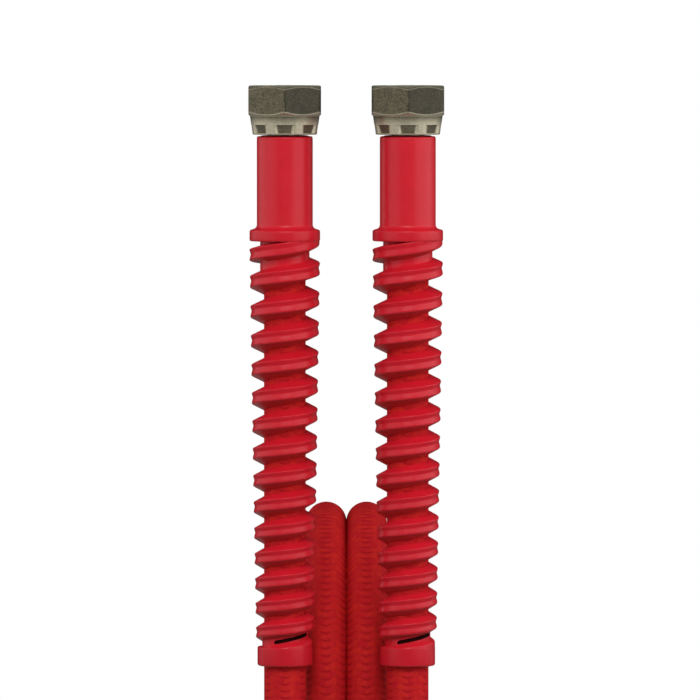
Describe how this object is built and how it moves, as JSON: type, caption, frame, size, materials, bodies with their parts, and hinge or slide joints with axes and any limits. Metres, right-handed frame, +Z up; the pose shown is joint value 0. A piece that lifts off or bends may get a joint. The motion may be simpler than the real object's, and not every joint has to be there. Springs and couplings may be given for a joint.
{
  "type": "air hose",
  "caption": "Flexible braided air hose with a swivel nut and a spiral bend restrictor at each end, hanging from its nuts with the slack folded into a strapped hank.",
  "frame": {"origin": "centre of the left swivel nut's mouth, where the hose hangs from its port", "axes": "+Z up, out of the nuts' mouths; +X from the left nut to the right nut; +Y to the back, away from the side that the picture shows"},
  "size_m": [0.112, 0.1265, 0.4613],
  "materials": {
    "nut_metal": "matt nickel plate, olive grey",
    "tail_metal": "turned, nickel plated",
    "ferrule_metal": "dark pressed steel",
    "seal_rubber": "flat moulded rubber",
    "restrictor_red": "satin moulded crimson",
    "braid_red": "tightly braided textile yarn",
    "liner_rubber": "smooth extruded rubber",
    "strap_black": "hook and loop tape"
  },
  "bodies": {
    "root": {"left_seal_washer": "seal_rubber", "left_hose_nipple": "tail_metal", "left_crimp_ferrule": "ferrule_metal", "left_bend_restrictor": "restrictor_red", "left_hose_cover": "braid_red", "left_hose_liner": "liner_rubber", "right_seal_washer": "seal_rubber", "right_hose_nipple": "tail_metal", "right_crimp_ferrule": "ferrule_metal", "right_bend_restrictor": "restrictor_red", "right_hose_cover": "braid_red", "right_hose_liner": "liner_rubber", "hank_hose_cover": "braid_red", "hank_hose_liner": "liner_rubber", "front_strap_upper": "strap_black", "front_strap_lower": "strap_black", "back_strap": "strap_black"},
    "left_nut": {"left_swivel_nut": "nut_metal"},
    "right_nut": {"right_swivel_nut": "nut_metal"}
  },
  "joints": [
    {"name": "left_nut_spin", "type": "hinge", "parent": "root", "child": "left_nut", "pos_m": [0, 0, -0.0119], "axis": [0, 0, 1], "continuous": true},
    {"name": "right_nut_spin", "type": "hinge", "parent": "root", "child": "right_nut", "pos_m": [0.03735, 0, -0.0119], "axis": [0, 0, 1], "continuous": true}
  ]
}
